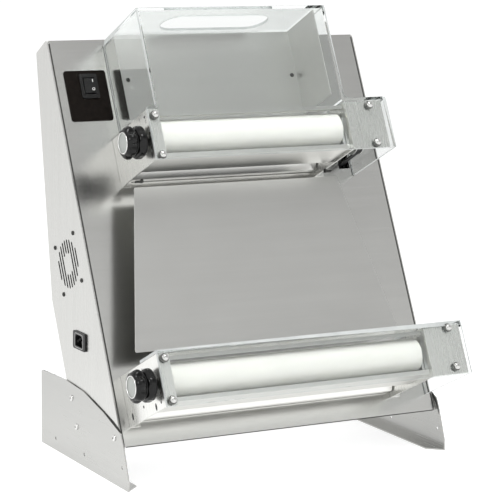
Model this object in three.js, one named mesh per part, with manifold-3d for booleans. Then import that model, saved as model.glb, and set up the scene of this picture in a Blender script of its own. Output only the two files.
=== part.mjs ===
// Countertop dough sheeter with two parallel pairs of rollers on a leaning stainless steel casing.
// Lengths are millimetres. X runs to the right, Y to the back, Z up, the table is Z = 0.
// Most pieces are described on the leaning front face: x across, n outwards from the face, s up the face.
import * as THREE from 'three';
import { mergeVertices } from 'three/addons/utils/BufferGeometryUtils.js';
import Module from 'manifold-3d';

const wasm = await Module();
wasm.setup();

// casing
const LEAN = THREE.MathUtils.degToRad(25.85);
const FACE_FOOT_Z = 56.5;
const FACE_LENGTH = 612;
const BODY_HALF = 260;
const SHEET = 1.5;
const SIDE_SHEET = 2;
const GAP = 0.3;
const TOP_DEPTH = 44;
const REAR_DEPTH = 150;
const REAR_BEND_S = 259;
const ROOF_DROP = 3;

// feet
const FOOT_SHEET = 2;
const FOOT_FLANGE = 22;
const FOOT_REAR_Y = 284;
const FOOT_FRONT_Y = -24.5;
const FOOT_HEIGHT = 114.5;

// roller heads: s of the underside, x of the two end plates, the clear cover, the gear panel and the
// belt wheels, then the heights of the tray and of the knob above the underside
const HEADS = {
  upper: { s0: 378, left: -186, right: 137, cover: 209, panel: 200, belt: 190, tray: 4.5, knobHeight: 34.1 },
  lower: { s0: 26.5, left: -243, right: 186, cover: 251, panel: 247, belt: 226, tray: 7.2, knobHeight: 37.6 },
};
const HEAD_HEIGHT = 75;
const HEAD_FRONT_N = 126.7;
const END_SHEET = 2;
const FLANGE_WIDTH = 18;
const TRAY_LIP = 6.5;
const ROLLER_RADIUS = 25;
const SHAFT_RADIUS = 8;
const AXIS_S = 42;
const FRONT_AXIS_N = 95;
const NIP_GAP = 2;
const REAR_AXIS_N = FRONT_AXIS_N - 2 * ROLLER_RADIUS - NIP_GAP;
const GAP_CLOSE = 1.5;
const GAP_OPEN = 2;

// gears between the two rollers of one head, and the belt wheels
const GEAR_TEETH = 14;
const GEAR_TIP = 27.2;
const GEAR_ROOT = 22.9;
const GEAR_WIDTH = 14;
const WHEEL_RADIUS = 18;
const BELT_WIDTH = 8;
const BELT_THICK = 2;

// thickness knobs
const KNOB_N = 104;
const KNOB_LENGTH = 35.5;
const KNOB_STANDOFF = 5.5;
const KNOB_RADIUS = 24;
const CAP_RADIUS = 15.9;
const KNOB_LOBES = 6;

// clear guards
const CLEAR = 4;
const GUARD_FRONT_N = 131;
const HOPPER_LEFT = -172;
const HOPPER_RIGHT = 138;
const HOPPER_TOP = 606;
const SLOT_LENGTH = 176;
const SLOT_WIDTH = 54;
const SLOT_X = -22;
const SLOT_N = 76;

// chutes
const UPPER_CHUTE_N = 39;
const UPPER_CHUTE_RIGHT = 121;
const UPPER_CHUTE_TOP = 601;
const LOWER_CHUTE_N = 44;

// drive inside the casing
const DRIVE_N = -62;
const DRIVE_S = 96;
const LAY_N = -50;
const LAY_S = 416;
const MOTOR_N = -86;
const MOTOR_S = 196;
const MOTOR_RADIUS = 48;

// fan, switch and inlet
const FAN_S = 290;
const FAN_N = -68;
const FAN_SIZE = 80;
const FAN_PITCH = 71.5;
const SWITCH_X = -207;
const SWITCH_S = 537;
const INLET_Y = 144;
const INLET_Z = 182;

const group = new THREE.Group();
const steel = { color: 0xc4c6c4, roughness: 0.3, metalness: 1 };
const darkSteel = { color: 0x9a9c9c, roughness: 0.35, metalness: 1 };
const bright = { color: 0xd8dadb, roughness: 0.15, metalness: 1 };
const blackPlastic = { color: 0x141414, roughness: 0.35, metalness: 0 };
const greyPlastic = { color: 0xb9bcbb, roughness: 0.4, metalness: 0 };
const rollerPlastic = { color: 0xf2f1ec, roughness: 0.45, metalness: 0 };
const acrylic = { color: 0xe8f2f2, roughness: 0.05, metalness: 0 };
const rubber = { color: 0x1d1d1d, roughness: 0.8, metalness: 0 };
const castMetal = { color: 0x8b8f92, roughness: 0.55, metalness: 0.8 };

// ---------- frames ----------
const faceFrame = new THREE.Matrix4().makeTranslation(0, 0, FACE_FOOT_Z);
faceFrame.multiply(new THREE.Matrix4().makeRotationX(-LEAN));

function frameOf(p, q, w) {
  const m = new THREE.Matrix4();
  m.makeBasis(new THREE.Vector3(...p), new THREE.Vector3(...q), new THREE.Vector3(...w));
  return m;
}
// shape drawn as (n, s), pulled along x
const ALONG_X = frameOf([0, -1, 0], [0, 0, 1], [1, 0, 0]);
// shape drawn as (x, s), pulled along n
const ALONG_N = frameOf([1, 0, 0], [0, 0, 1], [0, -1, 0]);
// shape drawn as (x, n), pulled along s
const ALONG_S = frameOf([1, 0, 0], [0, -1, 0], [0, 0, 1]);
// shape drawn as (y, z) on the table frame, pulled along x
const TABLE_X = frameOf([0, 1, 0], [0, 0, 1], [1, 0, 0]);

function place(geometry, matrix) {
  const g = geometry.index ? geometry.toNonIndexed() : geometry.clone();
  g.applyMatrix4(matrix);
  if (matrix.determinant() < 0) {
    const p = g.attributes.position;
    for (let i = 0; i < p.count; i += 3) {
      const a = new THREE.Vector3().fromBufferAttribute(p, i + 1);
      const b = new THREE.Vector3().fromBufferAttribute(p, i + 2);
      p.setXYZ(i + 1, b.x, b.y, b.z);
      p.setXYZ(i + 2, a.x, a.y, a.z);
    }
  }
  return g;
}

// ---------- solids ----------
function toSolid(geometry) {
  const g = geometry.clone();
  g.deleteAttribute('normal');
  g.deleteAttribute('uv');
  const merged = mergeVertices(g, 1e-4);
  const vertProperties = new Float32Array(merged.attributes.position.array);
  const triVerts = new Uint32Array(merged.index.array);
  return new wasm.Manifold(new wasm.Mesh({ numProp: 3, vertProperties, triVerts }));
}

function toGeometry(solid) {
  const mesh = solid.getMesh();
  const g = new THREE.BufferGeometry();
  g.setAttribute('position', new THREE.BufferAttribute(new Float32Array(mesh.vertProperties), 3));
  g.setIndex(new THREE.BufferAttribute(new Uint32Array(mesh.triVerts), 1));
  return g;
}

function join(...solids) {
  return solids.reduce((a, b) => a.add(b));
}

function cut(solid, ...tools) {
  return tools.reduce((a, b) => a.subtract(b), solid);
}

function outline(points) {
  return new THREE.Shape(points.map(([a, b]) => new THREE.Vector2(a, b)));
}

// polygon with its corners rounded: each entry is [a, b] or [a, b, radius]
function rounded(points, steps = 4) {
  const out = [];
  const count = points.length;
  points.forEach(([a, b, radius], i) => {
    const here = new THREE.Vector2(a, b);
    if (!radius) {
      out.push([a, b]);
      return;
    }
    const before = new THREE.Vector2(...points[(i + count - 1) % count].slice(0, 2)).sub(here).normalize();
    const after = new THREE.Vector2(...points[(i + 1) % count].slice(0, 2)).sub(here).normalize();
    const half = Math.acos(THREE.MathUtils.clamp(before.dot(after), -1, 1)) / 2;
    const reach = radius / Math.tan(half);
    const start = here.clone().addScaledVector(before, reach);
    const end = here.clone().addScaledVector(after, reach);
    const toMiddle = before.clone().add(after).normalize();
    const middle = here.clone().addScaledVector(toMiddle, radius / Math.sin(half));
    const from = Math.atan2(start.y - middle.y, start.x - middle.x);
    let turn = Math.atan2(end.y - middle.y, end.x - middle.x) - from;
    if (turn > Math.PI) turn -= 2 * Math.PI;
    if (turn < -Math.PI) turn += 2 * Math.PI;
    for (let k = 0; k <= steps; k += 1) {
      const angle = from + (turn * k) / steps;
      out.push([middle.x + radius * Math.cos(angle), middle.y + radius * Math.sin(angle)]);
    }
  });
  return out;
}

// strip of sheet metal following a bent line; the thickness lies on the left of the line
function bent(points, thickness) {
  const normals = [];
  for (let i = 0; i + 1 < points.length; i += 1) {
    const dx = points[i + 1][0] - points[i][0];
    const dy = points[i + 1][1] - points[i][1];
    const length = Math.hypot(dx, dy);
    normals.push([-dy / length, dx / length]);
  }
  const inner = points.map(([a, b], i) => {
    const u = normals[Math.max(i - 1, 0)];
    const v = normals[Math.min(i, normals.length - 1)];
    const scale = thickness / (1 + u[0] * v[0] + u[1] * v[1]);
    return [a + (u[0] + v[0]) * scale, b + (u[1] + v[1]) * scale];
  });
  return points.concat(inner.reverse());
}

function pulled(points, frame, from, to) {
  const g = new THREE.ExtrudeGeometry(outline(points), { depth: to - from, bevelEnabled: false, steps: 1 });
  g.translate(0, 0, from);
  return toSolid(place(g, frame));
}

function alongX(points, x0, x1) {
  return pulled(points, ALONG_X, x0, x1);
}

function alongN(points, n0, n1) {
  return pulled(points, ALONG_N, n0, n1);
}

function alongS(points, s0, s1) {
  return pulled(points, ALONG_S, s0, s1);
}

function box(x0, x1, n0, n1, s0, s1) {
  const g = new THREE.BoxGeometry(x1 - x0, n1 - n0, s1 - s0);
  g.translate((x0 + x1) / 2, -(n0 + n1) / 2, (s0 + s1) / 2);
  return toSolid(g);
}

// round bar along x made by turning; sections are [x, radius]
function turnedX(sections, n, s, segments = 36) {
  const profile = [new THREE.Vector2(0, sections[0][0])];
  sections.forEach(([x, r]) => profile.push(new THREE.Vector2(r, x)));
  profile.push(new THREE.Vector2(0, sections[sections.length - 1][0]));
  const g = new THREE.LatheGeometry(profile, segments);
  return toSolid(place(g, frameOf([0, 0, 1], [1, 0, 0], [0, 1, 0]))).translate([0, -n, s]);
}

function rodX(radius, x0, x1, n, s, segments = 24) {
  return turnedX([[x0, radius], [x1, radius]], n, s, segments);
}

// round bar pointing out of the face, from n0 to n1
function turnedN(sections, x, s, segments = 20) {
  const profile = [new THREE.Vector2(0, sections[0][0])];
  sections.forEach(([n, r]) => profile.push(new THREE.Vector2(r, n)));
  profile.push(new THREE.Vector2(0, sections[sections.length - 1][0]));
  const g = new THREE.LatheGeometry(profile, segments);
  return toSolid(place(g, frameOf([1, 0, 0], [0, -1, 0], [0, 0, 1]))).translate([x, 0, s]);
}

function obround(length, width, steps = 8) {
  const r = width / 2;
  const half = length / 2 - r;
  const out = [];
  for (let k = 0; k <= steps; k += 1) {
    const a = -Math.PI / 2 + (Math.PI * k) / steps;
    out.push([half + r * Math.cos(a), r * Math.sin(a)]);
  }
  for (let k = 0; k <= steps; k += 1) {
    const a = Math.PI / 2 + (Math.PI * k) / steps;
    out.push([-half + r * Math.cos(a), r * Math.sin(a)]);
  }
  return out;
}

function shifted(points, a, b) {
  return points.map(([p, q]) => [p + a, q + b]);
}

function put(name, solid, look, frame = faceFrame) {
  const geometry = toGeometry(solid).applyMatrix4(frame);
  geometry.computeVertexNormals();
  const mesh = new THREE.Mesh(geometry, new THREE.MeshStandardMaterial(look));
  mesh.name = name;
  group.add(mesh);
}

const TABLE = new THREE.Matrix4();

// point of the leaning frame given on the table frame
function toTable(n, s) {
  const v = new THREE.Vector3(0, -n, s).applyMatrix4(faceFrame);
  return [v.y, v.z];
}

// ---------- casing ----------
const roofBackS = FACE_LENGTH - ROOF_DROP;
const [roofFrontY, roofFrontZ] = toTable(0, FACE_LENGTH);
const [roofBackY, roofBackZ] = toTable(-TOP_DEPTH, roofBackS);
const [bendY, bendZ] = toTable(-REAR_DEPTH, REAR_BEND_S);
const floorS = REAR_DEPTH * Math.tan(LEAN);
const [floorBackY, floorZ] = toTable(-REAR_DEPTH, floorS);

function grilleSlots() {
  const tools = [];
  const reach = FAN_SIZE / 2 - 4;
  const hub = 14;
  for (let k = -4; k <= 4; k += 1) {
    const n = k * 8.2;
    const outer = Math.sqrt(reach * reach - n * n);
    const inner = Math.abs(n) < hub ? Math.sqrt(hub * hub - n * n) + 1.5 : 0;
    const spans = inner > 0 ? [[inner, outer], [-outer, -inner]] : [[-outer, outer]];
    spans.forEach(([low, high]) => {
      const slot = obround(high - low, 4.2, 3).map(([a, b]) => [b + n + FAN_N, a + (low + high) / 2 + FAN_S]);
      tools.push(alongX(slot, -4, 4));
    });
  }
  return tools;
}

function fanHoles() {
  const tools = [];
  for (const a of [-1, 1]) {
    for (const b of [-1, 1]) {
      tools.push(rodX(2.2, -4, 4, FAN_N + (a * FAN_PITCH) / 2, FAN_S + (b * FAN_PITCH) / 2, 10));
    }
  }
  return tools;
}

function sidePanel() {
  const edge = [
    [0, FACE_FOOT_Z, 3],
    [roofFrontY, roofFrontZ, 5],
    [roofBackY, roofBackZ, 4],
    [bendY, bendZ, 12],
    [floorBackY, floorZ, 4],
  ];
  return pulled(rounded(edge), TABLE_X, -SIDE_SHEET / 2, SIDE_SHEET / 2);
}

function toTableSolid(solid) {
  return toSolid(toGeometry(solid).applyMatrix4(faceFrame));
}

const inletHole = shifted(rounded([[-14, -10.2], [14, -10.2], [14, 10.2], [-14, 10.2]], 2), INLET_Y, INLET_Z);
const leftTools = [...grilleSlots(), ...fanHoles()].map(toTableSolid);
leftTools.push(pulled(inletHole, TABLE_X, -4, 4));
const leftX = -BODY_HALF + SIDE_SHEET / 2;
put('side_panel_left', cut(sidePanel(), ...leftTools).translate([leftX, 0, 0]), steel, TABLE);

// the right side has a row of cooling slots low down by the drive
const rightTools = [];
for (let k = 0; k < 6; k += 1) {
  const slot = shifted(obround(46, 4.5, 3).map(([a, b]) => [b, a]), -98 + k * 11, 200);
  rightTools.push(toTableSolid(alongX(slot, -4, 4)));
}
put('side_panel_right', cut(sidePanel(), ...rightTools).translate([-leftX, 0, 0]), steel, TABLE);

const panelHalf = BODY_HALF - SIDE_SHEET - GAP;
const frontLine = [
  [-24, 1.2 + 24 * Math.tan(LEAN)],
  [0, 1.2],
  [0, FACE_LENGTH - 1.5],
  [-TOP_DEPTH + 3, roofBackS - 1.5],
  [-TOP_DEPTH + 1.2, roofBackS - 15.2],
];
const frontPanel = cut(
  alongX(bent(frontLine, SHEET), -panelHalf, panelHalf),
  box(SWITCH_X - 11.2, SWITCH_X + 11.2, -4, 4, SWITCH_S - 15, SWITCH_S + 15),
  box(184, 203, -4, 4, 390, 448),
  box(219, 241, -4, 4, 54, 103.5),
);
put('front_panel', frontPanel, steel);

const backLine = [
  [-TOP_DEPTH + 2.6, roofBackS - 16],
  [-TOP_DEPTH - 3.6, roofBackS - 18],
  [-REAR_DEPTH + 1.8, REAR_BEND_S + 4],
  [-REAR_DEPTH + 1.8, floorS + 4],
];
const ventTools = [];
for (let k = 0; k < 8; k += 1) {
  ventTools.push(alongN(shifted(obround(90, 5, 3), 110, 150 + k * 12), -160, -140));
}
put('back_panel', cut(alongX(bent(backLine, SHEET), -panelHalf, panelHalf), ...ventTools), steel);

const bottomEdge = [
  [26, floorZ + SHEET + 1.5],
  [floorBackY - 6, floorZ + SHEET + 1.5],
  [floorBackY - 2.6, floorZ + SHEET + 9],
];
put('bottom_plate', pulled(bent(bottomEdge, SHEET), TABLE_X, -panelHalf, panelHalf), darkSteel, TABLE);

// ---------- feet ----------
function foot(side) {
  const edge = rounded([
    [FOOT_FRONT_Y, 0],
    [FOOT_FRONT_Y, 14, 8],
    [-7.6, 58.5],
    [1.6, 77, 6],
    [60.6, 95, 60],
    [130, FOOT_HEIGHT - 4, 90],
    [190, FOOT_HEIGHT, 60],
    [FOOT_REAR_Y, FOOT_HEIGHT - 3, 2],
    [FOOT_REAR_Y, 0],
  ], 4);
  const outer = BODY_HALF + GAP + FOOT_SHEET;
  const plate = pulled(edge, TABLE_X, outer - FOOT_SHEET, outer);
  const floor = new THREE.ExtrudeGeometry(outline([
    [outer - 1, FOOT_FRONT_Y + 1],
    [outer - 1, FOOT_REAR_Y],
    [outer - FOOT_FLANGE, FOOT_REAR_Y],
    [outer - FOOT_FLANGE, FOOT_FRONT_Y + 20],
  ]), { depth: FOOT_SHEET, bevelEnabled: false });
  const rear = new THREE.ExtrudeGeometry(outline([
    [outer - 1, 0],
    [outer - 1, FOOT_HEIGHT - 6],
    [outer - FOOT_FLANGE, FOOT_HEIGHT - 12],
    [outer - FOOT_FLANGE, 0],
  ]), { depth: FOOT_SHEET, bevelEnabled: false });
  const up = place(rear, frameOf([1, 0, 0], [0, 0, 1], [0, -1, 0]));
  up.translate(0, FOOT_REAR_Y, 0);
  const holes = [[126, 18], [-4, 30], [230, 18]].map(([y, z]) => {
    const g = new THREE.CylinderGeometry(2.4, 2.4, 12, 12);
    g.rotateZ(Math.PI / 2);
    g.translate(outer, y, z);
    return toSolid(g);
  });
  let solid = cut(join(plate, toSolid(floor), toSolid(up)), ...holes);
  if (side < 0) solid = solid.mirror([1, 0, 0]);
  return solid;
}
put('foot_left', foot(-1), steel, TABLE);
put('foot_right', foot(1), steel, TABLE);

// ---------- switch, label, inlet, fan ----------
const labelEdge = rounded([[-243.5, 483.5, 4], [-177, 483.5, 4], [-177, 562, 4], [-243.5, 562, 4]], 3);
const switchHole = [[-11.4, -15.2], [11.4, -15.2], [11.4, 15.2], [-11.4, 15.2]];
put('control_label', cut(
  alongN(labelEdge, GAP, GAP + 0.8),
  alongN(shifted(switchHole, SWITCH_X, SWITCH_S), -1, 3),
), { color: 0x15120f, roughness: 0.5, metalness: 0 });

const rim = rounded([[-14, -19, 2.5], [14, -19, 2.5], [14, 19, 2.5], [-14, 19, 2.5]], 3);
const well = [[-9, -13], [9, -13], [9, 13], [-9, 13]];
const socket = [[-10.8, -14.6], [10.8, -14.6], [10.8, 14.6], [-10.8, 14.6]];
put('switch_frame', cut(
  join(
    alongN(shifted(rim, SWITCH_X, SWITCH_S), GAP + 1.1, GAP + 3.6),
    alongN(shifted(socket, SWITCH_X, SWITCH_S), -24, GAP + 2),
  ),
  alongN(shifted(well, SWITCH_X, SWITCH_S), -12, 8),
), blackPlastic);

const rockerSide = rounded([
  [-4, -11.2], [2.6, -11.2, 1.5], [5.2, 0, 12], [6.6, 11.2, 1.5], [-4, 11.2], [-7, 0],
], 3);
put('switch_rocker', alongX(shifted(rockerSide, 0, SWITCH_S), SWITCH_X - 8.4, SWITCH_X + 8.4), blackPlastic);

const inletFace = rounded([[-21, -13, 3], [21, -13, 3], [21, 13, 3], [-21, 13, 3]], 3);
const inletBody = [[-13.6, -9.8], [13.6, -9.8], [13.6, 9.8], [-13.6, 9.8]];
const inletWell = rounded([[-12, -8.2], [12, -8.2], [12, 4, 0], [8, 8.2], [-8, 8.2], [-12, 4]], 1);
const inletOut = -BODY_HALF;
const inletPins = [[-7, -1], [0, 2.5], [7, -1]].map(([y, z]) => pulled(
  shifted([[-1, -2], [1, -2], [1, 2], [-1, 2]], INLET_Y + y, INLET_Z + z),
  TABLE_X, inletOut - 1, inletOut + 21,
));
put('power_inlet', join(
  cut(
    join(
      pulled(shifted(inletFace, INLET_Y, INLET_Z), TABLE_X, inletOut - GAP - 2.6, inletOut - GAP),
      pulled(shifted(inletBody, INLET_Y, INLET_Z), TABLE_X, inletOut - GAP - 1, inletOut + 24),
    ),
    pulled(shifted(inletWell, INLET_Y, INLET_Z), TABLE_X, inletOut - 8, inletOut + 17),
  ),
  ...inletPins,
), blackPlastic, TABLE);

const fanIn = -BODY_HALF + SIDE_SHEET + GAP;
const half = FAN_SIZE / 2;
const fanEdge = rounded([[-half, -half, 5], [half, -half, 5], [half, half, 5], [-half, half, 5]], 3);
const fanArms = [0, 1, 2].map((k) => {
  const arm = box(fanIn + 21, fanIn + 25, -2.5, 2.5, 0, 38);
  return arm.rotate([120 * k + 30, 0, 0]).translate([0, -FAN_N, FAN_S]);
});
put('fan_frame', join(
  cut(
    alongX(shifted(fanEdge, FAN_N, FAN_S), fanIn, fanIn + 25),
    rodX(37.5, fanIn - 2, fanIn + 30, FAN_N, FAN_S, 40),
    ...fanHoles().map((t) => t.scale([8, 1, 1]).translate([fanIn, 0, 0])),
  ),
  ...fanArms,
  rodX(13, fanIn + 20, fanIn + 25, FAN_N, FAN_S, 24),
), blackPlastic);

const blades = [];
for (let k = 0; k < 7; k += 1) {
  const blade = box(-7, 7, -1, 1, 12, 35.8).rotate([0, 0, 38]);
  blades.push(blade.rotate([(360 * k) / 7, 0, 0]).translate([fanIn + 9.5, -FAN_N, FAN_S]));
}
put('fan_rotor', join(rodX(15, fanIn + 3, fanIn + 19.4, FAN_N, FAN_S, 20), ...blades), blackPlastic);

put('electrics_box', box(-232, -160, -60, -27, 420, 512), greyPlastic);

// ---------- motor and drive ----------
const motorFins = [];
for (let k = 0; k < 14; k += 1) {
  const fin = box(-130, 30, -1.3, 1.3, MOTOR_RADIUS - 4, MOTOR_RADIUS + 4);
  motorFins.push(fin.rotate([(360 * k) / 14, 0, 0]).translate([0, -MOTOR_N, MOTOR_S]));
}
put('motor', join(
  turnedX([
    [-150, 40], [-146, MOTOR_RADIUS], [50, MOTOR_RADIUS], [52, MOTOR_RADIUS + 3], [60, MOTOR_RADIUS + 3],
  ],
    MOTOR_N, MOTOR_S, 40),
  ...motorFins,
), castMetal);

put('gearbox', cut(
  join(
    rodX(MOTOR_RADIUS + 3, 60.4, 112, MOTOR_N, MOTOR_S, 40),
    alongX([[-118, MOTOR_S], [-60, MOTOR_S], [DRIVE_N + 26, DRIVE_S], [DRIVE_N - 26, DRIVE_S]], 60.4, 112),
    rodX(26, 60.4, 112, DRIVE_N, DRIVE_S, 32),
  ),
  rodX(SHAFT_RADIUS + 0.4, 80, 120, DRIVE_N, DRIVE_S, 20),
), castMetal);

function wheel(x0, x1, n, s) {
  const r = WHEEL_RADIUS;
  return turnedX([[x0 - 2.5, r + 3.5], [x0 - 0.8, r + 3.5], [x0 - 0.8, r], [x1 + 0.8, r], [x1 + 0.8, r + 3.5],
    [x1 + 2.5, r + 3.5]], n, s, 24);
}
const lowBelt = HEADS.lower.belt;
const upBelt = HEADS.upper.belt;
const transferX = 210;
put('drive_shaft', join(
  rodX(SHAFT_RADIUS, 84, lowBelt + BELT_WIDTH + 8, DRIVE_N, DRIVE_S, 20),
  wheel(lowBelt, lowBelt + BELT_WIDTH, DRIVE_N, DRIVE_S),
  wheel(transferX, transferX + BELT_WIDTH, DRIVE_N, DRIVE_S),
), bright);
put('lay_shaft', join(
  rodX(SHAFT_RADIUS, 176, transferX + BELT_WIDTH + 6, LAY_N, LAY_S, 20),
  wheel(upBelt, upBelt + BELT_WIDTH, LAY_N, LAY_S),
  wheel(transferX, transferX + BELT_WIDTH, LAY_N, LAY_S),
), bright);
put('lay_bracket', cut(
  join(
    alongX(
      rounded([[-2.1, 386], [-2.1, 446], [LAY_N - 14, LAY_S + 14, 8], [LAY_N - 14, LAY_S - 14, 8]], 3),
      178, 184,
    ),
    box(150, 184, -5.1, -2.1, 386, 446),
  ),
  rodX(SHAFT_RADIUS + 0.4, 170, 190, LAY_N, LAY_S, 20),
), darkSteel);

// flat belt running round two equal wheels
function belt(x0, n1, s1, n2, s2) {
  const r = WHEEL_RADIUS + GAP;
  const length = Math.hypot(n2 - n1, s2 - s1);
  const angle = Math.atan2(s2 - s1, n2 - n1);
  const turn = ([a, b]) => [
    n1 + (a + length / 2) * Math.cos(angle) - b * Math.sin(angle),
    s1 + (a + length / 2) * Math.sin(angle) + b * Math.cos(angle),
  ];
  const outer = obround(length + 2 * (r + BELT_THICK), 2 * (r + BELT_THICK), 14).map(turn);
  const inner = obround(length + 2 * r, 2 * r, 14).map(turn);
  return cut(alongX(outer, x0, x0 + BELT_WIDTH), alongX(inner, x0 - 2, x0 + BELT_WIDTH + 2));
}
put('transfer_belt', belt(transferX, DRIVE_N, DRIVE_S, LAY_N, LAY_S), rubber);
put('upper_belt', belt(upBelt, LAY_N, LAY_S, REAR_AXIS_N, HEADS.upper.s0 + AXIS_S), rubber);
put('lower_belt', belt(lowBelt, DRIVE_N, DRIVE_S, REAR_AXIS_N, HEADS.lower.s0 + AXIS_S), rubber);

// ---------- roller heads ----------
function gear(x0, n, s, phase) {
  const points = [];
  for (let k = 0; k < GEAR_TEETH; k += 1) {
    const middle = phase + (2 * Math.PI * k) / GEAR_TEETH;
    [[-0.125, GEAR_ROOT], [-0.06, GEAR_TIP], [0.06, GEAR_TIP], [0.125, GEAR_ROOT]].forEach(([a, r]) => {
      points.push([n + r * Math.cos(middle + a), s + r * Math.sin(middle + a)]);
    });
  }
  return alongX(points, x0, x0 + GEAR_WIDTH);
}

function sleeve(x0, x1, n, s) {
  const r = ROLLER_RADIUS;
  return cut(
    turnedX([[x0, r - 1.5], [x0 + 1.5, r], [x1 - 1.5, r], [x1, r - 1.5]], n, s, 48),
    rodX(SHAFT_RADIUS + GAP, x0 - 5, x1 + 5, n, s, 20),
  );
}

function ring(x0, x1, outer, inner, n, s) {
  return cut(rodX(outer, x0, x1, n, s, 32), rodX(inner, x0 - 3, x1 + 3, n, s, 32));
}

function endPlate(n0, n1, s0, s1) {
  return rounded([[n0, s0, 1], [n1, s0, 2], [n1, s1, 2], [n0, s1, 1]], 2);
}

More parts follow.
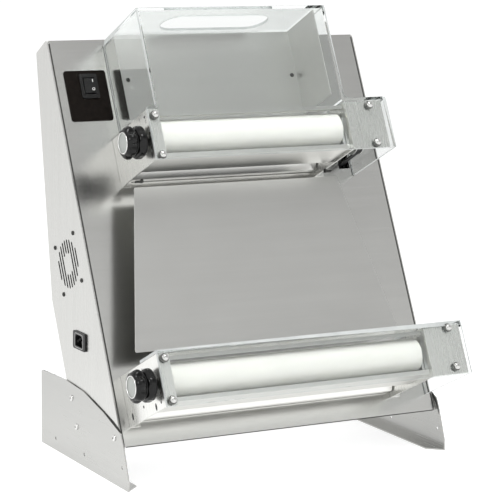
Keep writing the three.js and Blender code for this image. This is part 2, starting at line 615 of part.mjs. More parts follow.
function buildHead(tag, head) {
  const { s0, left, right, panel, belt: beltX, tray, knobHeight } = head;
  const s1 = s0 + HEAD_HEIGHT;
  const axis = s0 + AXIS_S;
  const low = s0 + 1;
  const inner = left + END_SHEET;
  const knobS = s0 + knobHeight;
  const gearX = right + END_SHEET + 6;
  const cup = SHAFT_RADIUS + 0.4;

  // left end: plate, front flange for the guard nuts, rear flange against the face, blind bearing cup
  const leftPlate = alongX(endPlate(GAP, HEAD_FRONT_N, low, s1), left, inner);
  const flangeEdge = left + FLANGE_WIDTH;
  const leftFlange = alongN(
    rounded([[left, low], [flangeEdge, low, 3], [flangeEdge, s1, 3], [left, s1]], 3),
    HEAD_FRONT_N - END_SHEET, HEAD_FRONT_N);
  const leftFoot = box(left, left + 16, GAP, GAP + END_SHEET, low, s1);
  put(`${tag}_bracket_left`, cut(
    join(leftPlate, leftFlange, leftFoot, rodX(14, inner - 1, inner + 5, REAR_AXIS_N, axis, 32)),
    rodX(cup, inner, inner + 9, REAR_AXIS_N, axis, 20),
    rodX(6.4, left - 5, inner + 2, KNOB_N, knobS, 24),
  ), steel);

  // right end: inner plate carrying both shafts, wide front panel hiding the gears
  const rightPlate = alongX(endPlate(GAP, HEAD_FRONT_N, low, s1), right, right + END_SHEET);
  const frontCover = alongN(rounded([[right, low], [panel, low, 2], [panel, s1, 2], [right, s1]], 2),
    HEAD_FRONT_N - END_SHEET, HEAD_FRONT_N);
  const rightFoot = box(right, right + 16, GAP, GAP + END_SHEET, low, s1);
  const slotLength = 2 * cup + GAP_CLOSE + GAP_OPEN + 1;
  const slotMiddle = FRONT_AXIS_N + (GAP_OPEN - GAP_CLOSE) / 2;
  const shaftSlot = shifted(obround(slotLength, 2 * cup, 8), slotMiddle, axis);
  put(`${tag}_bracket_right`, cut(
    join(
      rightPlate,
      frontCover,
      rightFoot,
      rodX(13, right + 1, right + END_SHEET + 4, REAR_AXIS_N, axis, 32),
    ),
    rodX(cup, right - 5, right + 12, REAR_AXIS_N, axis, 20),
    alongX(shaftSlot, right - 5, right + 8),
  ), steel);

  // rear roller turns in the end plates and carries the belt wheel
  put(`${tag}_rear_roller`, sleeve(inner + 6, right - 1, REAR_AXIS_N, axis), rollerPlastic);
  put(`${tag}_rear_shaft`, join(
    rodX(SHAFT_RADIUS, inner + 0.5, beltX + BELT_WIDTH + 5, REAR_AXIS_N, axis, 20),
    gear(gearX, REAR_AXIS_N, axis, 0),
    wheel(beltX, beltX + BELT_WIDTH, REAR_AXIS_N, axis),
  ), bright);

  // front roller turns in the thickness frame
  const frameLeft = inner + 0.5;
  const frameRight = right - 0.5;
  const frontRight = gearX + GEAR_WIDTH + 4;
  put(`${tag}_front_roller`, sleeve(frameLeft + 5.2, frameRight - 5.2, FRONT_AXIS_N, axis), rollerPlastic);
  put(`${tag}_front_shaft`, join(
    rodX(SHAFT_RADIUS, frameLeft + 0.8, frontRight, FRONT_AXIS_N, axis, 20),
    gear(gearX, FRONT_AXIS_N, axis, Math.PI / GEAR_TEETH),
  ), bright);

  const cheek = endPlate(FRONT_AXIS_N - 14, FRONT_AXIS_N + 14, s0 + 9.5, axis + 16);
  put(`${tag}_gap_frame`, cut(
    join(
      alongX(cheek, frameLeft, frameLeft + 4.2),
      alongX(cheek, frameRight - 4.2, frameRight),
      box(frameLeft + 1, frameRight - 1, FRONT_AXIS_N - 8, FRONT_AXIS_N + 10, s0 + 9.5, s0 + 15),
    ),
    rodX(cup, frameLeft - 3, frameRight + 3, FRONT_AXIS_N, axis, 20),
  ), darkSteel);

  // fixed trims: tray below the front roller, bar above it, scraper behind the rear roller
  const trayLine = [[58, s0 + tray], [119, s0 + tray], [119, s0 + tray + TRAY_LIP]];
  put(`${tag}_tray`, alongX(bent(trayLine, SHEET), inner + GAP, right - GAP), steel);
  const barLine = [[100, s1 - 3.2], [119, s1 - 3.2], [119, s1 - 8.6]];
  put(`${tag}_top_bar`, alongX(bent(barLine, -SHEET), inner + GAP, right - GAP), steel);
  const scraperLine = [[GAP + 2.5, s0 + 9], [12, s0 + 9], [20.5, s0 + 22]];
  put(`${tag}_scraper`, alongX(bent(scraperLine, 1.2), inner + 7, right - 2), steel);

  // knob on the outside of the left plate: a scalloped front, a groove, a plain back
  const knobFront = left - KNOB_LENGTH;
  const knobBack = left - KNOB_STANDOFF;
  const lobes = [];
  for (let k = 0; k < 48; k += 1) {
    const a = (2 * Math.PI * k) / 48;
    const dip = Math.pow(0.5 + 0.5 * Math.cos(KNOB_LOBES * a), 0.55);
    const r = KNOB_RADIUS - 3.4 * (1 - dip);
    lobes.push([r * Math.cos(a), r * Math.sin(a)]);
  }
  const grip = new THREE.ExtrudeGeometry(outline(lobes), {
    depth: 9, steps: 1, bevelEnabled: true, bevelThickness: 2.5,
    bevelSize: 2.2, bevelOffset: -2.2, bevelSegments: 1,
  });
  grip.translate(0, 0, knobFront + 3.5);
  const backProfile = [
    [knobFront + 13, 17], [knobBack - 12, 17], [knobBack - 12, KNOB_RADIUS - 2], [knobBack - 10, KNOB_RADIUS],
    [knobBack - 2, KNOB_RADIUS], [knobBack, KNOB_RADIUS - 2],
  ];
  const capProfile = [
    [knobFront - 0.3, CAP_RADIUS - 1.4], [knobFront + 0.6, CAP_RADIUS], [knobFront + 2.8, CAP_RADIUS],
  ];
  put(`${tag}_knob`, cut(
    join(
      toSolid(place(grip, ALONG_X)).translate([0, -KNOB_N, knobS]),
      turnedX(backProfile, KNOB_N, knobS, 36),
      rodX(6, knobBack - 1, inner, KNOB_N, knobS, 24),
    ),
    rodX(CAP_RADIUS + 0.4, knobFront - 4, knobFront + 3.2, KNOB_N, knobS, 36),
  ), blackPlastic);
  put(`${tag}_knob_cap`, turnedX(capProfile, KNOB_N, knobS, 36), greyPlastic);
}

buildHead('upper', HEADS.upper);
buildHead('lower', HEADS.lower);

// ---------- clear guards and their nuts ----------
const NUTS = {
  upper: [[-176.5, 443], [-176.5, 383.5], [177, 445], [177, 386]],
  lower: [[-233.5, 94], [-233.5, 35], [226, 96.5], [226, 38]],
};

function nutHoles(tag) {
  return NUTS[tag].map(([x, s]) => turnedN([[110, 3.1], [140, 3.1]], x, s, 14));
}

function upperGuard() {
  const { s0, left, cover } = HEADS.upper;
  const s1 = s0 + HEAD_HEIGHT + GAP + 0.4;
  const back = 1;
  const face = rounded([
    [left, s0, 2],
    [cover, s0, 2],
    [cover, s1 + CLEAR, 6],
    [HOPPER_RIGHT, s1 + CLEAR, 8],
    [HOPPER_RIGHT, HOPPER_TOP, 5],
    [HOPPER_LEFT, HOPPER_TOP, 5],
    [HOPPER_LEFT, s1 + CLEAR, 1],
    [left, s1 + CLEAR, 5],
  ], 4);
  const wall = rounded([
    [back, s1], [GUARD_FRONT_N - 1, s1], [GUARD_FRONT_N - 1, HOPPER_TOP], [back, HOPPER_TOP, 12],
  ], 4);
  const roof = box(HOPPER_LEFT + 1, HOPPER_RIGHT - 1, 12, GUARD_FRONT_N - 1, HOPPER_TOP - CLEAR, HOPPER_TOP);
  const slotOutline = shifted(obround(SLOT_LENGTH, SLOT_WIDTH, 10), SLOT_X, SLOT_N);
  const slot = alongS(slotOutline, HOPPER_TOP - 10, HOPPER_TOP + 5);
  return join(
    alongN(face, GUARD_FRONT_N - CLEAR, GUARD_FRONT_N),
    alongX(wall, HOPPER_LEFT, HOPPER_LEFT + CLEAR),
    alongX(wall, HOPPER_RIGHT - CLEAR, HOPPER_RIGHT),
    cut(roof, slot),
    box(HOPPER_RIGHT - 1, cover, back, GUARD_FRONT_N - 1, s1, s1 + CLEAR),
    box(cover - CLEAR, cover, back, GUARD_FRONT_N - 1, s0, s1 + 1),
  );
}
put('upper_guard', cut(upperGuard(), ...nutHoles('upper')), acrylic);

function lowerGuard() {
  const { s0, left, right, cover } = HEADS.lower;
  const s1 = s0 + HEAD_HEIGHT + GAP + 0.4;
  const back = 1;
  const face = rounded([[left, s0, 2], [cover, s0, 2], [cover, s1 + CLEAR, 4], [left, s1 + CLEAR, 4]], 3);
  return join(
    alongN(face, GUARD_FRONT_N - CLEAR, GUARD_FRONT_N),
    box(left, cover, 72, GUARD_FRONT_N - 1, s1, s1 + CLEAR),
    box(right, cover, back, 73, s1, s1 + CLEAR),
    box(cover - CLEAR, cover, back, GUARD_FRONT_N - 1, s0, s1 + 1),
  );
}
put('lower_guard', cut(lowerGuard(), ...nutHoles('lower')), acrylic);

for (const tag of ['upper', 'lower']) {
  NUTS[tag].forEach(([x, s], k) => {
    const out = GUARD_FRONT_N + GAP;
    const dome = turnedN([
      [HEAD_FRONT_N + 0.5, 2.6], [out, 2.6], [out, 6.4], [out + 1, 6.4], [out + 1, 5.8],
      [out + 3.4, 5.8], [out + 5.6, 4.6], [out + 7, 2.4],
    ], x, s, 14);
    put(`${tag}_nut_${k + 1}`, dome, bright);
  });
}

// ---------- chutes ----------
const upperPan = join(
  box(HOPPER_LEFT + CLEAR + 0.5, UPPER_CHUTE_RIGHT, UPPER_CHUTE_N - SHEET, UPPER_CHUTE_N, 462, UPPER_CHUTE_TOP),
  box(UPPER_CHUTE_RIGHT - SHEET, UPPER_CHUTE_RIGHT, UPPER_CHUTE_N - SHEET, 124, 466, UPPER_CHUTE_TOP),
  box(-130, -114, 2, UPPER_CHUTE_N - 1, 520, 560),
  box(84, 100, 2, UPPER_CHUTE_N - 1, 520, 560),
);
put('upper_chute', upperPan, steel);

const chuteEdge = rounded([[-234, 124, 3], [198, 124, 3], [149, 365, 3], [-187, 365, 3]], 3);
put('lower_chute', join(
  alongN(chuteEdge, LOWER_CHUTE_N - SHEET, LOWER_CHUTE_N),
  box(-160, -140, 2, LOWER_CHUTE_N - 1, 150, 340),
  box(104, 124, 2, LOWER_CHUTE_N - 1, 150, 340),
), steel);

// ---------- stand the machine on the origin ----------
const span = new THREE.Box3().setFromObject(group);
const shift = [-(span.min.x + span.max.x) / 2, -(span.min.y + span.max.y) / 2, -span.min.z];
group.children.forEach((mesh) => mesh.geometry.translate(...shift));

export default group;
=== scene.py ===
"""Countertop dough sheeter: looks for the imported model.

Lengths in the constants are millimetres and become metres when a mesh is finished.
Most pieces are described on the leaning front face: x across, n outwards from the face, s up the face.
"""
import math

import bmesh
import bpy
from mathutils import Matrix, Vector


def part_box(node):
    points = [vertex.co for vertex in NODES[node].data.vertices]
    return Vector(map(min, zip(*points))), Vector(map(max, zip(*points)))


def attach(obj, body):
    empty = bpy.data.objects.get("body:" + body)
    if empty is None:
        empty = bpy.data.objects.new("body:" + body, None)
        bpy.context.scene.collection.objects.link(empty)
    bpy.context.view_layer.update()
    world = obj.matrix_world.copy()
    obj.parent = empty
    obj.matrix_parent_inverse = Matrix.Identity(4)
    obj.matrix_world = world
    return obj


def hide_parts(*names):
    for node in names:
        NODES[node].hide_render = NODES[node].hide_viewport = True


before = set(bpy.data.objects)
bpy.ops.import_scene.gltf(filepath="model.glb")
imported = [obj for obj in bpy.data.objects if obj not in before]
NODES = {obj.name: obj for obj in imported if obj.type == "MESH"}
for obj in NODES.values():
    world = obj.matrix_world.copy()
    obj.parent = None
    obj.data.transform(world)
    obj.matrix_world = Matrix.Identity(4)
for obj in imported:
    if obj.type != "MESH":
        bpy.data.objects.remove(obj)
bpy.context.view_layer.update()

# ---------- driving dimensions ----------
MM = 0.001
LEAN = math.radians(25.85)
FACE_FOOT_Z = 56.5
FACE_LENGTH = 612
BODY_HALF = 260
FOOT_OUTER = 262.3
FOOT_REAR_Y = 284
HEADS = {
    "upper": {"s0": 378, "left": -186, "right": 137, "knob": 34.1},
    "lower": {"s0": 26.5, "left": -243, "right": 186, "knob": 37.6},
}
AXIS_S = 42
FRONT_AXIS_N = 95
REAR_AXIS_N = 43
ROLLER_RADIUS = 25
SHAFT_RADIUS = 8
KNOB_N = 104
KNOB_LENGTH = 35.5
KNOB_RADIUS = 23.9
CAP_RADIUS = 15.9
KNOB_LOBES = 6
GUARD_FRONT_N = 131
HEAD_FRONT_N = 126.7
NUTS = {
    "upper": [(-176.5, 443), (-176.5, 383.5), (177, 445), (177, 386)],
    "lower": [(-233.5, 94), (-233.5, 35), (226, 96.5), (226, 38)],
}

# ---------- studio and camera ----------
STUDIO_LEVEL = 1.1
# direction, cosine where the patch starts, cosine where it is full, extra strength
STUDIO = [
    ((0.471, -0.665, 0.58), 0.88, 0.97, -0.6),
    ((0.3, -0.95, 0.05), 0.75, 0.97, 0.7),
]
# place and size in metres, power in watts
LAMPS = {
    "top": ((-0.3, -1.3, 3.4), 1.2, 45),
    "left": ((-3.4, -0.6, 1.5), 0.8, 16),
    "back": ((0.4, 3.0, 2.6), 2.0, 10),
}
LAMP_AIM = (0, 0, 0.3)
FLOOR_HALF = 40
FLOOR_GLOW_FRONT = 0.9
FLOOR_GLOW_BACK = 0.5
CAMERA_PLACE = (-1460.5, -2578.2, 805)
CAMERA_YAW = 28.475
CAMERA_PITCH = 9.328
CAMERA_ROLL = 0.716
CAMERA_LENS = 151.2

foot_low, foot_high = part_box("foot_left")
ORIGIN = Vector((foot_low.x + FOOT_OUTER * MM, foot_high.y - FOOT_REAR_Y * MM, foot_low.z))


def table_frame():
    """Millimetres on the upright machine (x, y, z) to metres in the row frame."""
    return Matrix.Translation(ORIGIN) @ Matrix.Scale(MM, 4)


def face_frame():
    """Millimetres on the leaning face (x, n, s) to metres in the row frame."""
    lean = Matrix.Rotation(-LEAN, 4, "X")
    swap = Matrix.Diagonal((1, -1, 1, 1))
    return table_frame() @ Matrix.Translation((0, 0, FACE_FOOT_Z)) @ lean @ swap


FACE = face_frame()
TABLE = table_frame()


# ---------- material helpers ----------
class Look:
    """A node material with one Principled shader, and short ways to add to it."""

    def __init__(self, name, color, roughness, metallic=0.0):
        self.material = bpy.data.materials.new(name)
        self.material.use_nodes = True
        self.nodes = self.material.node_tree.nodes
        self.links = self.material.node_tree.links
        self.shader = self.nodes["Principled BSDF"]
        self.shader.inputs["Base Color"].default_value = (*color, 1)
        self.shader.inputs["Roughness"].default_value = roughness
        self.shader.inputs["Metallic"].default_value = metallic

    def add(self, kind, **inputs):
        node = self.nodes.new(kind)
        for key, value in inputs.items():
            node.inputs[key.replace("_", " ")].default_value = value
        return node

    def join(self, out, into):
        self.links.new(out, into)

    def noise(self, scale, detail=3.0, roughness=0.55, stretch=(1, 1, 1), lean=False):
        """Noise in the row frame; stretch holds cells per metre along x, y and z.

        With lean, y and z turn with the leaning face.
        """
        place = self.add("ShaderNodeTexCoord")
        turn = self.add("ShaderNodeMapping")
        turn.inputs["Rotation"].default_value = (LEAN if lean else 0.0, 0.0, 0.0)
        mapping = self.add("ShaderNodeMapping")
        mapping.inputs["Scale"].default_value = stretch
        texture = self.add("ShaderNodeTexNoise", Scale=scale, Detail=detail, Roughness=roughness)
        self.join(place.outputs["Object"], turn.inputs["Vector"])
        self.join(turn.outputs["Vector"], mapping.inputs["Vector"])
        self.join(mapping.outputs["Vector"], texture.inputs["Vector"])
        return texture.outputs["Fac"]

    def remap(self, value, low, high, start=0.3, end=0.7):
        node = self.add("ShaderNodeMapRange", From_Min=start, From_Max=end, To_Min=low, To_Max=high)
        self.join(value, node.inputs["Value"])
        return node.outputs["Result"]

    def sum(self, a, b):
        node = self.add("ShaderNodeMath")
        node.operation = "ADD"
        self.join(a, node.inputs[0])
        self.join(b, node.inputs[1])
        return node.outputs["Value"]

    def vary_color(self, value, dark, light, start=0.3, end=0.7):
        """Blends between two colours by a noise value."""
        ramp = self.add("ShaderNodeValToRGB")
        ramp.color_ramp.elements[0].position = start
        ramp.color_ramp.elements[0].color = (*dark, 1)
        ramp.color_ramp.elements[1].position = end
        ramp.color_ramp.elements[1].color = (*light, 1)
        self.join(value, ramp.inputs["Fac"])
        self.join(ramp.outputs["Color"], self.shader.inputs["Base Color"])

    def vary_roughness(self, value):
        self.join(value, self.shader.inputs["Roughness"])

    def bump(self, height, strength, distance):
        node = self.add("ShaderNodeBump", Strength=strength, Distance=distance)
        self.join(height, node.inputs["Height"])
        self.join(node.outputs["Normal"], self.shader.inputs["Normal"])


def shade(color, factor):
    return tuple(min(1.0, c * factor) for c in color)


def brushed(name, color, roughness, grain, strength=0.04, lean=False):
    """Brushed stainless sheet. grain is the axis that the brush lines run along."""
    fine = {"x": (7, 900, 900), "y": (900, 7, 900), "z": (900, 900, 7)}[grain]
    broad = {"x": (1.6, 60, 60), "y": (60, 1.6, 60), "z": (60, 60, 1.6)}[grain]
    look = Look(name, color, roughness, metallic=1.0)
    lines = look.noise(1.0, detail=4.0, roughness=0.7, stretch=fine, lean=lean)
    bands = look.noise(1.0, detail=2.0, stretch=broad, lean=lean)
    smudge = look.noise(9.0, detail=5.0, roughness=0.6)
    look.vary_color(look.sum(look.remap(lines, 0, 0.5), look.remap(bands, 0, 0.5)),
                    shade(color, 0.975), shade(color, 1.02), 0.1, 0.9)
    line_rough = look.remap(lines, roughness - 0.02, roughness + 0.025)
    look.vary_roughness(look.sum(line_rough, look.remap(smudge, -0.012, 0.018)))
    look.bump(lines, strength, 0.0001)
    return look.material


def machined(name, color, roughness):
    """Turned or cut steel: fine rings round x and a little oil darkening."""
    look = Look(name, color, roughness, metallic=1.0)
    rings = look.noise(1.0, detail=3.0, stretch=(1500, 30, 30))
    oil = look.noise(60.0, detail=4.0)
    look.vary_color(oil, shade(color, 0.8), color)
    ring_rough = look.remap(rings, roughness - 0.05, roughness + 0.05)
    look.vary_roughness(look.sum(ring_rough, look.remap(oil, 0.04, -0.02)))
    look.bump(rings, 0.12, 0.0001)
    return look.material


def polished(name, color, roughness):
    look = Look(name, color, roughness, metallic=1.0)
    haze = look.noise(220.0, detail=4.0)
    look.vary_color(haze, shade(color, 0.94), shade(color, 1.03))
    look.vary_roughness(look.remap(haze, roughness, roughness + 0.08))
    look.bump(haze, 0.03, 0.00005)
    return look.material


def moulded(name, color, roughness, grain=900.0, depth=0.08, shine=0.5):
    """Moulded plastic with a fine grain and slight handling marks."""
    look = Look(name, color, roughness)
    pores = look.noise(grain, detail=3.0)
    touched = look.noise(25.0, detail=5.0)
    look.vary_color(touched, shade(color, 0.88), shade(color, 1.12))
    touch_rough = look.remap(touched, roughness - 0.05, roughness + 0.06)
    look.vary_roughness(look.sum(touch_rough, look.remap(pores, -0.02, 0.02)))
    look.bump(pores, depth, 0.00015)
    look.shader.inputs["Specular IOR Level"].default_value = shine
    return look.material


def roller_white():
    """Food-grade white plastic turned on a lathe: rings along x, slightly creamy."""
    color = (0.8, 0.79, 0.755)
    look = Look("roller_white", color, 0.36)
    rings = look.noise(1.0, detail=3.0, stretch=(1100, 12, 12))
    stain = look.noise(14.0, detail=4.0)
    look.vary_color(stain, shade(color, 0.975), shade(color, 1.02))
    look.vary_roughness(look.sum(look.remap(rings, 0.30, 0.40), look.remap(stain, -0.02, 0.04)))
    look.bump(rings, 0.10, 0.00012)
    look.shader.inputs["Subsurface Weight"].default_value = 0.08
    look.shader.inputs["Subsurface Radius"].default_value = (0.004, 0.004, 0.003)
    return look.material


def clear_acrylic():
    """Clear guard sheet that lets lamp rays through, with faint wipe marks."""
    look = Look("clear_acrylic", (0.93, 0.945, 0.94), 0.006)
    look.shader.inputs["Transmission Weight"].default_value = 1.0
    look.shader.inputs["IOR"].default_value = 1.49
    wipe = look.noise(30.0, detail=5.0, stretch=(1, 3, 3))
    look.vary_roughness(look.remap(wipe, 0.0, 0.012, 0.35, 0.75))
    path = look.add("ShaderNodeLightPath")
    deep = look.add("ShaderNodeMath")
    deep.operation = "GREATER_THAN"
    deep.inputs[1].default_value = 4.5
    look.join(path.outputs["Ray Depth"], deep.inputs[0])
    free = look.add("ShaderNodeMath")
    free.operation = "MAXIMUM"
    look.join(path.outputs["Is Shadow Ray"], free.inputs[0])
    look.join(deep.outputs["Value"], free.inputs[1])
    through = look.add("ShaderNodeBsdfTransparent")
    through.inputs["Color"].default_value = (0.95, 0.965, 0.96, 1)
    mix = look.add("ShaderNodeMixShader")
    look.join(free.outputs["Value"], mix.inputs["Fac"])
    look.join(look.shader.outputs["BSDF"], mix.inputs[1])
    look.join(through.outputs["BSDF"], mix.inputs[2])
    look.join(mix.outputs["Shader"], look.nodes["Material Output"].inputs["Surface"])
    return look.material


def film_black():
    """Printed control film: brownish black, faint mottling under a satin surface."""
    color = (0.006, 0.0046, 0.0038)
    look = Look("film_black", color, 0.42)
    mottle = look.noise(180.0, detail=4.0)
    look.vary_color(mottle, shade(color, 0.7), shade(color, 1.5))
    look.vary_roughness(look.remap(mottle, 0.36, 0.5))
    look.bump(mottle, 0.05, 0.0001)
    look.shader.inputs["Specular IOR Level"].default_value = 0.05
    return look.material


def cast_alloy():
    color = (0.42, 0.43, 0.44)
    look = Look("cast_alloy", color, 0.5, metallic=0.8)
    skin = look.noise(380.0, detail=5.0, roughness=0.7)
    look.vary_color(skin, shade(color, 0.8), shade(color, 1.1))
    look.vary_roughness(look.remap(skin, 0.42, 0.62))
    look.bump(skin, 0.25, 0.0003)
    return look.material


# The side, foot, bracket, chute and tray looks below are this one stainless steel made darker or lighter
# by a factor: painted shade and painted light, not different metals.
STEEL = (0.63, 0.63, 0.612)
LOOKS = {
    "face_steel": brushed("face_steel", STEEL, 0.21, "x"),
    "side_steel_painted_shade": brushed("side_steel_painted_shade", shade(STEEL, 0.93), 0.27, "z"),
    "foot_steel_painted_shade": brushed("foot_steel_painted_shade", shade(STEEL, 0.74), 0.25, "y", strength=0.07),
    "bracket_steel_painted_light": brushed("bracket_steel_painted_light", shade(STEEL, 1.2), 0.27, "z", strength=0.02, lean=True),
    "chute_steel_painted_shade": brushed("chute_steel_painted_shade", shade(STEEL, 0.81), 0.32, "x"),
    "tray_steel_painted_light": brushed("tray_steel_painted_light", shade(STEEL, 1.12), 0.3, "x"),
    "plain_steel": brushed("plain_steel", (0.56, 0.57, 0.57), 0.35, "x"),
    "machined_steel": machined("machined_steel", (0.6, 0.6, 0.59), 0.28),
    "bright_steel": polished("bright_steel", (0.68, 0.68, 0.67), 0.12),
    "dome_steel": polished("dome_steel", (0.5, 0.5, 0.49), 0.14),
    # Washer steel darkened far below the other steel: painted shade round each dome nut.
    "washer_steel_painted_shade": polished("washer_steel_painted_shade", (0.16, 0.16, 0.155), 0.3),
    "roller_white": roller_white(),
    "clear_acrylic": clear_acrylic(),
    "film_black": film_black(),
    "black_plastic": moulded("black_plastic", (0.009, 0.009, 0.009), 0.33, shine=0.25),
    "knob_black": moulded("knob_black", (0.003, 0.003, 0.003), 0.1, grain=260.0, depth=0.02, shine=0.24),
    "cap_grey": moulded("cap_grey", (0.29, 0.305, 0.29), 0.3, depth=0.04),
    # Light grey on the cut edges of the clear guards: partly a frosted edge, partly painted highlight for
    # light caught in the sheet.
    "acrylic_edge_painted_highlight": moulded("acrylic_edge_painted_highlight", (0.46, 0.48, 0.475), 0.3, depth=0.05),
    # Dark grey for the real stops and screws, and for strips that paint shade and shadow along joints.
    "dark_grey_and_painted_shadow": moulded("dark_grey_and_painted_shadow", (0.04, 0.04, 0.038), 0.6, shine=0.2),
    # Grey of the inlet rim: painted highlight on the edge of the opening.
    "inlet_rim_painted_highlight": moulded("inlet_rim_painted_highlight", (0.2, 0.2, 0.195), 0.35),
    # Black ink for the printed numbers; the same black paints the shade inside the index holes and slots.
    "ink_and_painted_hole_shade": moulded("ink_and_painted_hole_shade", (0.012, 0.012, 0.012), 0.5),
    "print_white": moulded("print_white", (0.75, 0.75, 0.73), 0.5),
    "belt_rubber": moulded("belt_rubber", (0.02, 0.02, 0.02), 0.7, grain=500.0, depth=0.3),
    "cast_alloy": cast_alloy(),
}


# ---------- mesh helpers ----------
def smoothing_group(angle):
    """Geometry nodes that shade smooth, with edges above the angle left sharp."""
    group = bpy.data.node_groups.new("shade_by_angle", "GeometryNodeTree")
    group.interface.new_socket("Geometry", in_out="INPUT", socket_type="NodeSocketGeometry")
    group.interface.new_socket("Geometry", in_out="OUTPUT", socket_type="NodeSocketGeometry")
    entry = group.nodes.new("NodeGroupInput")
    leave = group.nodes.new("NodeGroupOutput")
    forget = group.nodes.new("GeometryNodeRemoveAttribute")
    forget.inputs["Name"].default_value = "custom_normal"
    faces = group.nodes.new("GeometryNodeSetShadeSmooth")
    faces.inputs["Shade Smooth"].default_value = True
    reset = group.nodes.new("GeometryNodeSetShadeSmooth")
    reset.domain = "EDGE"
    reset.inputs["Shade Smooth"].default_value = True
    edges = group.nodes.new("GeometryNodeSetShadeSmooth")
    edges.domain = "EDGE"
    edges.inputs["Shade Smooth"].default_value = False
    bend = group.nodes.new("GeometryNodeInputMeshEdgeAngle")
    steep = group.nodes.new("FunctionNodeCompare")
    steep.data_type = "FLOAT"
    steep.operation = "GREATER_THAN"
    steep.inputs["B"].default_value = math.radians(angle)
    chain = [entry, forget, faces, reset, edges, leave]
    for a, b in zip(chain, chain[1:]):
        group.links.new(a.outputs["Geometry"], b.inputs["Geometry"])
    group.links.new(bend.outputs["Unsigned Angle"], steep.inputs["A"])
    group.links.new(steep.outputs["Result"], edges.inputs["Selection"])
    return group


SHADE_BY_ANGLE = smoothing_group(32)


def edge_group(thickness, look):
    """Geometry nodes that put a look on the narrow faces of a bent sheet of this thickness."""
    group = bpy.data.node_groups.new("sheet_edges", "GeometryNodeTree")
    group.interface.new_socket("Geometry", in_out="INPUT", socket_type="NodeSocketGeometry")
    group.interface.new_socket("Geometry", in_out="OUTPUT", socket_type="NodeSocketGeometry")
    entry = group.nodes.new("NodeGroupInput")
    leave = group.nodes.new("NodeGroupOutput")
    place = group.nodes.new("GeometryNodeInputPosition")
    normal = group.nodes.new("GeometryNodeInputNormal")
    inward = group.nodes.new("ShaderNodeVectorMath")
    inward.operation = "SCALE"
    inward.inputs["Scale"].default_value = -1.0
    start = group.nodes.new("ShaderNodeVectorMath")
    start.operation = "MULTIPLY_ADD"
    start.inputs[1].default_value = (0.0002, 0.0002, 0.0002)
    across = group.nodes.new("GeometryNodeRaycast")
    across.inputs["Ray Length"].default_value = 1.5 * thickness * MM
    narrow = group.nodes.new("FunctionNodeBooleanMath")
    narrow.operation = "NOT"
    paint = group.nodes.new("GeometryNodeSetMaterial")
    paint.inputs["Material"].default_value = look
    group.links.new(normal.outputs["Normal"], inward.inputs[0])
    group.links.new(inward.outputs["Vector"], start.inputs[0])
    group.links.new(place.outputs["Position"], start.inputs[2])
    group.links.new(entry.outputs["Geometry"], across.inputs["Target Geometry"])
    group.links.new(start.outputs["Vector"], across.inputs["Source Position"])
    group.links.new(inward.outputs["Vector"], across.inputs["Ray Direction"])
    group.links.new(across.outputs["Is Hit"], narrow.inputs[0])
    group.links.new(narrow.outputs["Boolean"], paint.inputs["Selection"])
    group.links.new(entry.outputs["Geometry"], paint.inputs["Geometry"])
    group.links.new(paint.outputs["Geometry"], leave.inputs["Geometry"])
    return group


def soften(obj, bevel=0.0, weld=False, limit=40, edges=None):
    """Rounds the sharp edges by bevel millimetres and shades the rest smooth."""
    if weld:
        modifier = obj.modifiers.new("weld", "WELD")
        modifier.merge_threshold = 0.00001
    if edges:
        modifier = obj.modifiers.new("edges", "NODES")
        modifier.node_group = edges
    if bevel:
        if weld:
            flat = obj.modifiers.new("flat", "DECIMATE")
            flat.decimate_type = "DISSOLVE"
            flat.angle_limit = math.radians(0.3)
            flat.delimit = {"MATERIAL"}
        modifier = obj.modifiers.new("bevel", "BEVEL")
        modifier.width = bevel * MM
        modifier.segments = 2
        modifier.limit_method = "ANGLE"
        modifier.angle_limit = math.radians(limit)
        modifier.use_clamp_overlap = True
    modifier = obj.modifiers.new("shade", "NODES")
    modifier.node_group = SHADE_BY_ANGLE
    modifier = obj.modifiers.new("weighted", "WEIGHTED_NORMAL")
    modifier.keep_sharp = True


def piece(name, bm, look, body, at=FACE, bevel=0.0, stands_for=(), limit=40):
    """Finishes a mesh drawn in millimetres as a piece that rides on a body."""
    bm.transform(at)
    bmesh.ops.recalc_face_normals(bm, faces=bm.faces)
    mesh = bpy.data.meshes.new(name)
    bm.to_mesh(mesh)
    bm.free()
    obj = bpy.data.objects.new(name, mesh)
    bpy.context.scene.collection.objects.link(obj)
    mesh.materials.append(LOOKS[look])
    for face in mesh.polygons:
        face.use_smooth = True
    soften(obj, bevel, limit=limit)
    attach(obj, body)
    if stands_for:
        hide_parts(*stands_for)
    return obj


def loft(bm, rings, closed=True):
    """Skins a row of rings that have the same number of points, and caps both ends."""
    rows = [[bm.verts.new(p) for p in ring] for ring in rings]
    count = len(rows[0])
    for low, high in zip(rows, rows[1:]):
        for k in range(count):
            a, b = k, (k + 1) % count
            bm.faces.new((low[a], low[b], high[b], high[a]))
    if closed:
        bm.faces.new(rows[0])
        bm.faces.new(rows[-1])
    else:
        for k in range(count):
            a, b = k, (k + 1) % count
            bm.faces.new((rows[-1][a], rows[-1][b], rows[0][b], rows[0][a]))


def ring_x(x, radius, n, s, count, shape=None):
    """A ring round an axis along x; shape gives a radius factor for an angle."""
    points = []
    for k in range(count):
        a = 2 * math.pi * k / count
        r = radius * (shape(a) if shape else 1)
        points.append((x, n + r * math.cos(a), s + r * math.sin(a)))
    return points


def turn_x(bm, profile, n, s, count=96):
    """A solid turned round an axis along x; profile holds (x, radius)."""
    loft(bm, [ring_x(x, r, n, s, count) for x, r in profile])


def turn_n(bm, profile, x, s, count=40):
    """A solid turned round an axis out of the face; profile holds (n, radius)."""
    rings = []
    for n, r in profile:
        rings.append([
            (x + r * math.cos(2 * math.pi * k / count), n, s + r * math.sin(2 * math.pi * k / count))
            for k in range(count)
        ])
    loft(bm, rings)


